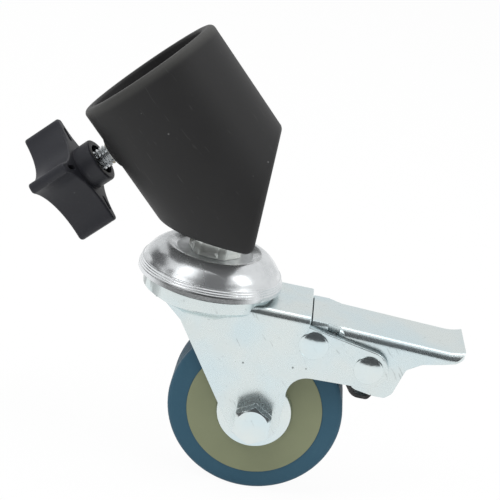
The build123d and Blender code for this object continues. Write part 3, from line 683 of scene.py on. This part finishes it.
screwPlan = {
    "pitch": 0.001, "depth": 0.00062, "flat": 0.14,  # flat is a share of the pitch
    "point": (0.62, 0.28),  # the tip's radius in roots, and its length in radii
    "far": (0.96, 0.0001),  # the far end's radius in roots, and its chamfer
    "steps": 48, "smooth": 28,
}


def threadedRod(name, radius, length, plan):
    # rod on +Z from 0: one tooth drawn, wound up the rod, over a solid core
    pitch = plan["pitch"]
    root = radius - plan["depth"]
    flat = plan["flat"] * pitch
    tooth = drawnLine(
        name,
        [
            (root, 0, 0),
            (root, 0, flat),
            (radius, 0, pitch / 2 - flat / 2),
            (radius, 0, pitch / 2 + flat / 2),
            (root, 0, pitch),
        ],
    )
    applyModifier(
        tooth, "SCREW", axis="Z", angle=2 * math.pi, steps=plan["steps"], render_steps=plan["steps"],
        screw_offset=pitch, iterations=int(length / pitch) - 1, use_merge_vertices=True,
        merge_threshold=weld, use_smooth_shade=True, use_normal_calculate=True,
    )
    tipShare, tipLength = plan["point"]
    farShare, farChamfer = plan["far"]
    core = turnedPiece(
        name + "Core",
        [
            (pole, 0),
            (root * tipShare, 0),
            (root, radius * tipLength),
            (root, length - farChamfer),
            (root * farShare, length),
            (pole, length),
        ],
        plan["steps"],
    )
    rod = joinPieces(core, tooth)
    rename(rod, name)
    smoothUnder(plan["smooth"])
    return rod


def addClampScrew(plan):
    low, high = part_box("clamp_screw")
    radius = (high.y - low.y) / 2
    slack = radius * math.sqrt(0.5)  # the screw lies at 45 degrees in its box
    tipAt = Vector((high.x - slack, 0, high.z - slack))
    farAt = Vector((low.x + slack, 0, low.z + slack))
    screw = threadedRod("clampScrew", radius, (farAt - tipAt).length, plan)
    stand(screw, tipAt, clampWay)
    finish(screw, groundSteel, "clamp_screw")


addClampScrew(screwPlan)
print("clamp screw ready")


def smoothed(points, parts):
    # a curve through the points, as (radius, along)
    path = []
    last = len(points) - 1
    for index in range(last):
        before, start = points[max(index - 1, 0)], points[index]
        end, after = points[index + 1], points[min(index + 2, last)]
        for part in range(parts):
            t = part / parts
            path.append(tuple(
                0.5 * (
                    2 * b + (c - a) * t + (2 * a - 5 * b + 4 * c - d) * t * t
                    + (3 * b - a - 3 * c + d) * t**3
                )
                for a, b, c, d in zip(before, start, end, after)
            ))
    path.append(points[last])
    return path


racePlan = {
    # (radius, up from the lower rim) in mm
    "seat": [(5.05, 7.5), (9.4, 7.5), (10.3, 7.52)],
    "crest": [
        (10.3, 7.52), (10.9, 7.72), (11.8, 8.22), (12.6, 8.6), (13.3, 8.78), (14.0, 8.76), (14.8, 8.5),
        (15.8, 7.92), (16.8, 7.15), (17.7, 6.2), (18.5, 5.15), (19.05, 4.2), (19.4, 3.62),
    ],
    "crestParts": 4,
    "radius": 20.4, "step": 0.2, "lines": (3.5, 2.85, 2.2, 1.5),  # the rim grows by a step at each line
    "ridge": ((0.02, 0.1), (0.09, 0.02)), "ridgeEdge": (0.03, 0.06), "ridgeFoot": 0.16,
    "rimFoot": ((0.0, 0.25), (-0.08, 0.07), (-0.3, 0.0)),
    "inside": [(18.8, 0.0), (18.8, 2.2), (18.3, 4.2), (16.6, 6.2), (14.1, 7.2), (10.2, 5.9), (5.05, 5.9)],
    "steps": 160, "smooth": 32,
}


def addTopRace(plan):
    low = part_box("top_race")[0]
    outline = plan["seat"][:-1] + smoothed(plan["crest"], plan["crestParts"])
    step = plan["step"]
    radius = plan["radius"] - step * len(plan["lines"])
    edgeIn, edgeDown = plan["ridgeEdge"]
    for line in plan["lines"]:
        outline += [(radius + out, line + up) for out, up in plan["ridge"]]
        outline += [(radius + step - edgeIn, line - edgeDown)]
        radius += step
        outline += [(radius, line - plan["ridgeFoot"])]
    outline += [(radius + out, up) for out, up in plan["rimFoot"]]
    outline += plan["inside"] + outline[:1]
    ring = turnedPiece("topRace", [(out / 1000, up / 1000) for out, up in outline], plan["steps"])
    stand(ring, Vector((swivelAt.x, swivelAt.y, low.z)), (0, 0, 1))
    smoothUnder(plan["smooth"])
    finish(ring, ringSteel, "top_race")


kingPlan = {
    # in mm; below is from the stem's top to the hexagon
    "flats": 14.0, "turn": -10.0, "height": 7.3, "below": 11.5,
    "band": 1.15, "rim": 0.35, "dish": (0.9, 0.28), "round": 0.22, "roundOver": 12,
    "neck": ((4.2, 0.0), (5.0, 0.8), (5.0, 0.9)),  # radius, and down from the stem's top
    "head": (8.0, 2.0), "headRound": ((1, 0.75), (0.93, 0.3), (0.75, 0)),  # in shares of the head
    "steps": 64, "smooth": 30,
}


def addHexagon(plan, at):
    # flats with a flat band at each corner and a shallow dish in each face
    corner = plan["flats"] / 2000 / math.cos(math.pi / 6)
    clearPicks()
    bpy.ops.mesh.primitive_cylinder_add(
        vertices=6, radius=corner, depth=plan["height"] / 1000,
        location=(at.x, at.y, at.z + plan["height"] / 2000),
        rotation=(0, 0, math.radians(plan["turn"] + 30)),
    )
    hexagon = bpy.context.object
    settle()
    edit(hexagon)
    pickNone("EDGE")
    leaveEdit()
    for edge in hexagon.data.edges:
        start, end = (hexagon.data.vertices[index].co for index in edge.vertices)
        edge.select = abs(start.z - end.z) > plan["height"] / 2000
    backToEdit()
    bpy.ops.mesh.bevel(offset=plan["band"] / 1000, segments=1, affect="EDGES")
    pickNone("FACE")
    leaveEdit()
    upright = [face for face in hexagon.data.polygons if abs(face.normal.z) < 0.1]
    widest = max(face.area for face in upright)
    for face in upright:
        face.select = face.area > widest * 0.8  # the six flats, not the bands
    backToEdit()
    dishIn, dishDeep = plan["dish"]
    bpy.ops.mesh.inset(thickness=plan["rim"] / 1000, depth=0, use_individual=True)
    bpy.ops.mesh.inset(thickness=dishIn / 1000, depth=-dishDeep / 1000, use_individual=True)
    leaveEdit()
    applyModifier(
        hexagon, "BEVEL", width=plan["round"] / 1000, segments=3, limit_method="ANGLE",
        angle_limit=math.radians(plan["roundOver"]),
    )
    return hexagon


def addKingpin(plan):
    low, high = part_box("kingpin")
    foot = Vector(((low.x + high.x) / 2, 0, high.z - (plan["below"] + plan["height"]) / 1000))
    hexagon = addHexagon(plan, foot)
    top, under = high.z - foot.z, low.z - foot.z
    wide, tall = (size / 1000 for size in plan["head"])
    outline = [(pole, top)] + [(radius / 1000, top - down / 1000) for radius, down in plan["neck"]]
    outline += [(outline[-1][0], under + tall), (wide, under + tall)]
    outline += [(wide * out, under + tall * up) for out, up in plan["headRound"]]
    outline += [(pole, under)]
    shank = turnedPiece("kingShank", outline, plan["steps"])
    stand(shank, foot, (0, 0, 1))
    pin = joinPieces(shank, hexagon)
    rename(pin, "kingpin")
    smoothUnder(plan["smooth"])
    finish(pin, litZinc, "kingpin")


addTopRace(racePlan)
addKingpin(kingPlan)
print("swivel ready")

pedalPlan = {
    # all in mm from the axle: along, up and to the side
    "tongueEnd": 15.1, "treadFrom": 19.7, "treadSlack": 0.1, "foldFull": 27.0, "foldFloor": 28.0,
    "tongueDrop": 0.9, "curl": {"from": 9.5, "to": 10.7, "drop": 1.1},
    "treadShift": -1.3, "foldShare": 0.35,
    "tab": {"along": (23.3, 26.7), "up": (12.8, 16.5), "shift": (1.3, 1.6)},
    "notch": {"along": (15.0, 18.35), "up": (27.2, 34.0), "side": (9.6, 12.0)},
    "web": {"along": (10.65, 14.9), "up": (27.6, 29.6), "side": (9.2, 10.62), "round": 0.2},
    "corner": {
        "side": (10.69, 9.3),
        "outline": [
            (24.3, 17.0), (24.3, 15.9), (24.6, 14.95), (25.2, 14.25), (26.1, 13.83), (27.3, 13.62),
            (29.87, 13.2), (30.6, 13.05), (30.6, 17.4),
        ],
    },
    "smooth": 24,
}


def blockAt(block, side):
    # a box from its spans, with its edges rounded where it says so
    spans = [block[way] for way in ("along", "up", "side")]
    along, up, out = (sum(span) / 2000 for span in spans)
    length, height, width = ((span[1] - span[0]) / 1000 for span in spans)
    clearPicks()
    bpy.ops.mesh.primitive_cube_add(
        size=1, location=(axleAt.x + along, side * out, axleAt.z + up), scale=(length, width, height),
    )
    piece = bpy.context.object
    settle()
    if "round" in block:
        applyModifier(piece, "BEVEL", width=block["round"] / 1000, segments=2)
    return piece


def cornerPlate(corner, side):
    # the flange's lower front corner, drawn and given its thickness
    near, far = (side * edge / 1000 for edge in corner["side"])
    outline = corner["outline"] + corner["outline"][:1]
    piece = drawnLine(
        "flangeCorner", [(axleAt.x + along / 1000, near, axleAt.z + up / 1000) for along, up in outline]
    )
    edit(piece)
    bpy.ops.mesh.remove_doubles(threshold=weld)
    bpy.ops.mesh.select_all(action="SELECT")
    bpy.ops.mesh.edge_face_add()
    bpy.ops.mesh.extrude_region_move(TRANSFORM_OT_translate={"value": (0, far - near, 0)})
    leaveEdit()
    tidyMesh(piece)
    return piece


def pressedPlace(plan, along, up, side):
    # where a point of the plain pedal goes as tongue, tread, fold and tab take their shape
    tongueEnd, treadFrom, shift = plan["tongueEnd"], plan["treadFrom"], plan["treadShift"]
    tab, curl = plan["tab"], plan["curl"]
    (tabStart, tabEnd), (tabLow, tabHigh) = tab["along"], tab["up"]
    if tabStart < along < tabEnd and tabLow < up < tabHigh:
        along += tab["shift"][0]
        up += tab["shift"][1]
    elif along < treadFrom - plan["treadSlack"] and up > plan["foldFloor"]:
        share = min(1, max(0, (along - tongueEnd) / (treadFrom - tongueEnd)))
        curled = max(0, side - curl["from"]) / (curl["to"] - curl["from"])
        up -= (plan["tongueDrop"] + curl["drop"] * curled) * (1 - share)
        along += shift * share
    elif along < plan["foldFull"] and up > plan["foldFloor"]:
        along = treadFrom + shift + max(0, along - treadFrom) * plan["foldShare"]
    elif along < treadFrom:
        along += shift
    return along, up


def addPedal(plan):
    pedal = mergedCopy("brake_pedal", "brakePedal", plan["smooth"])
    for vertex in pedal.data.vertices:
        along, up = (vertex.co.x - axleAt.x) * 1000, (vertex.co.z - axleAt.z) * 1000
        along, up = pressedPlace(plan, along, up, abs(vertex.co.y) * 1000)
        vertex.co.x = axleAt.x + along / 1000
        vertex.co.z = axleAt.z + up / 1000
    added = []
    for side in (-1, 1):
        cutter = blockAt(plan["notch"], side)
        applyModifier(pedal, "BOOLEAN", object=cutter, operation="DIFFERENCE", solver="EXACT")
        pick(cutter)
        bpy.ops.object.delete()
        added += [blockAt(plan["web"], side), cornerPlate(plan["corner"], side)]
    joinPieces(pedal, *added)
    smoothUnder(plan["smooth"])
    finish(pedal, zincPlate, "brake_pedal")


addPedal(pedalPlan)
print("pedal ready")

forkPlan = {
    # the lugs' outer edges that are rounded, in mm from the axle
    "face": 13.0, "faceSlack": 0.02, "along": (5.0, 38.0), "up": (16.0, 33.0), "round": 0.35,
    "flat": 0.3, "sharp": 60, "smooth": 25, "copySmooth": 20,
}


def addFork(plan):
    fork = mergedCopy("fork", "fork", plan["copySmooth"])
    edit(fork)
    bpy.ops.mesh.dissolve_limited(angle_limit=math.radians(plan["flat"]))
    pickNone("EDGE")
    bpy.ops.mesh.edges_select_sharp(sharpness=math.radians(plan["sharp"]))
    leaveEdit()
    (start, end), (low, high) = plan["along"], plan["up"]
    for edge in fork.data.edges:
        ends = [(fork.data.vertices[index].co - axleAt) * 1000 for index in edge.vertices]
        edge.select = edge.select and all(
            start < at.x < end and low < at.z < high and abs(abs(at.y) - plan["face"]) < plan["faceSlack"]
            for at in ends
        )
    backToEdit()
    bpy.ops.mesh.bevel(offset=plan["round"] / 1000, segments=3, affect="EDGES", clamp_overlap=False)
    leaveEdit()
    smoothUnder(plan["smooth"])
    finish(fork, zincPlate, "fork")


addFork(forkPlan)
print("fork ready")

rivetPlan = {
    # in mm: (radius, out from the leg's face), then a dome of this radius up to the crown
    "face": 13.0, "rim": [(4.1, 0.0), (4.1, 0.12), (3.98, 0.24), (3.66, 0.3)], "crown": 1.12, "radius": 9.6,
    "shanks": {"leaf_pin": 1.9, "pedal_pin": 2.0}, "domeParts": 12, "pole": 0.00001, "steps": 64,
}


def addRivet(node, name, plan):
    # one outline for half the rivet, mirrored for the far head
    edgeRadius, edgeOut = plan["rim"][-1]
    foot = plan["crown"] - plan["radius"]
    edge = math.sqrt(plan["radius"] ** 2 - edgeRadius**2) + foot
    dome = []
    for part in range(1, plan["domeParts"] + 1):
        radius = edgeRadius * (1 - part / plan["domeParts"])
        full = math.sqrt(plan["radius"] ** 2 - radius**2) + foot
        dome.append((radius, full + (edgeOut - edge) * (radius / edgeRadius) ** 2))
    head = [(radius, plan["face"] + out) for radius, out in plan["rim"] + dome]
    head = [(plan["shanks"][node], plan["face"])] + head
    outline = [(radius, -along) for radius, along in reversed(head)] + head
    outline = [(max(radius, plan["pole"]) / 1000, along / 1000) for radius, along in outline]
    rivet = turnedPiece(name, outline, plan["steps"])
    stand(rivet, middleOf(node), (0, 1, 0))
    finish(rivet, zincSmall, node)


addRivet("leaf_pin", "leafPin", rivetPlan)
addRivet("pedal_pin", "pedalPin", rivetPlan)
print("rivets ready")

shownAs = {
    # finish, and the angle above which an edge stays sharp
    "leg_socket": (socketPlastic, 24),
    "clamp_knob": (knobPlastic, 24),
    "stem_bush": (turnedBrass, 30),
    "clamp_insert": (turnedBrass, 30),
    "upper_balls": (groundSteel, 60),
    "lower_balls": (groundSteel, 60),
    "lower_race": (groundSteel, 30),
    "brake_leaf": (springSteel, 30),
    "tyre": (treadRubber, 30),
    "wheel_core": (corePlastic, 30),
    "bearing_spacer": (groundSteel, 30),
    "bearing_outer_left": (groundSteel, 30),
    "bearing_outer_right": (groundSteel, 30),
    "bearing_inner_left": (groundSteel, 30),
    "bearing_inner_right": (groundSteel, 30),
    "bearing_balls_left": (groundSteel, 60),
    "bearing_balls_right": (groundSteel, 60),
    "dust_cap_left": (zincSmall, 30),
    "dust_cap_right": (zincSmall, 30),
    "axle_spacer_left": (groundSteel, 30),
    "axle_spacer_right": (groundSteel, 30),
    "axle_bolt": (zincSmall, 30),
    "axle_nut": (zincSmall, 30),
}
for node, (material, sharpAngle) in shownAs.items():
    first, *rest = node.split("_")
    pieceName = first + "".join(word.title() for word in rest)
    finish(mergedCopy(node, pieceName, sharpAngle), material, node)
print("pieces ready")
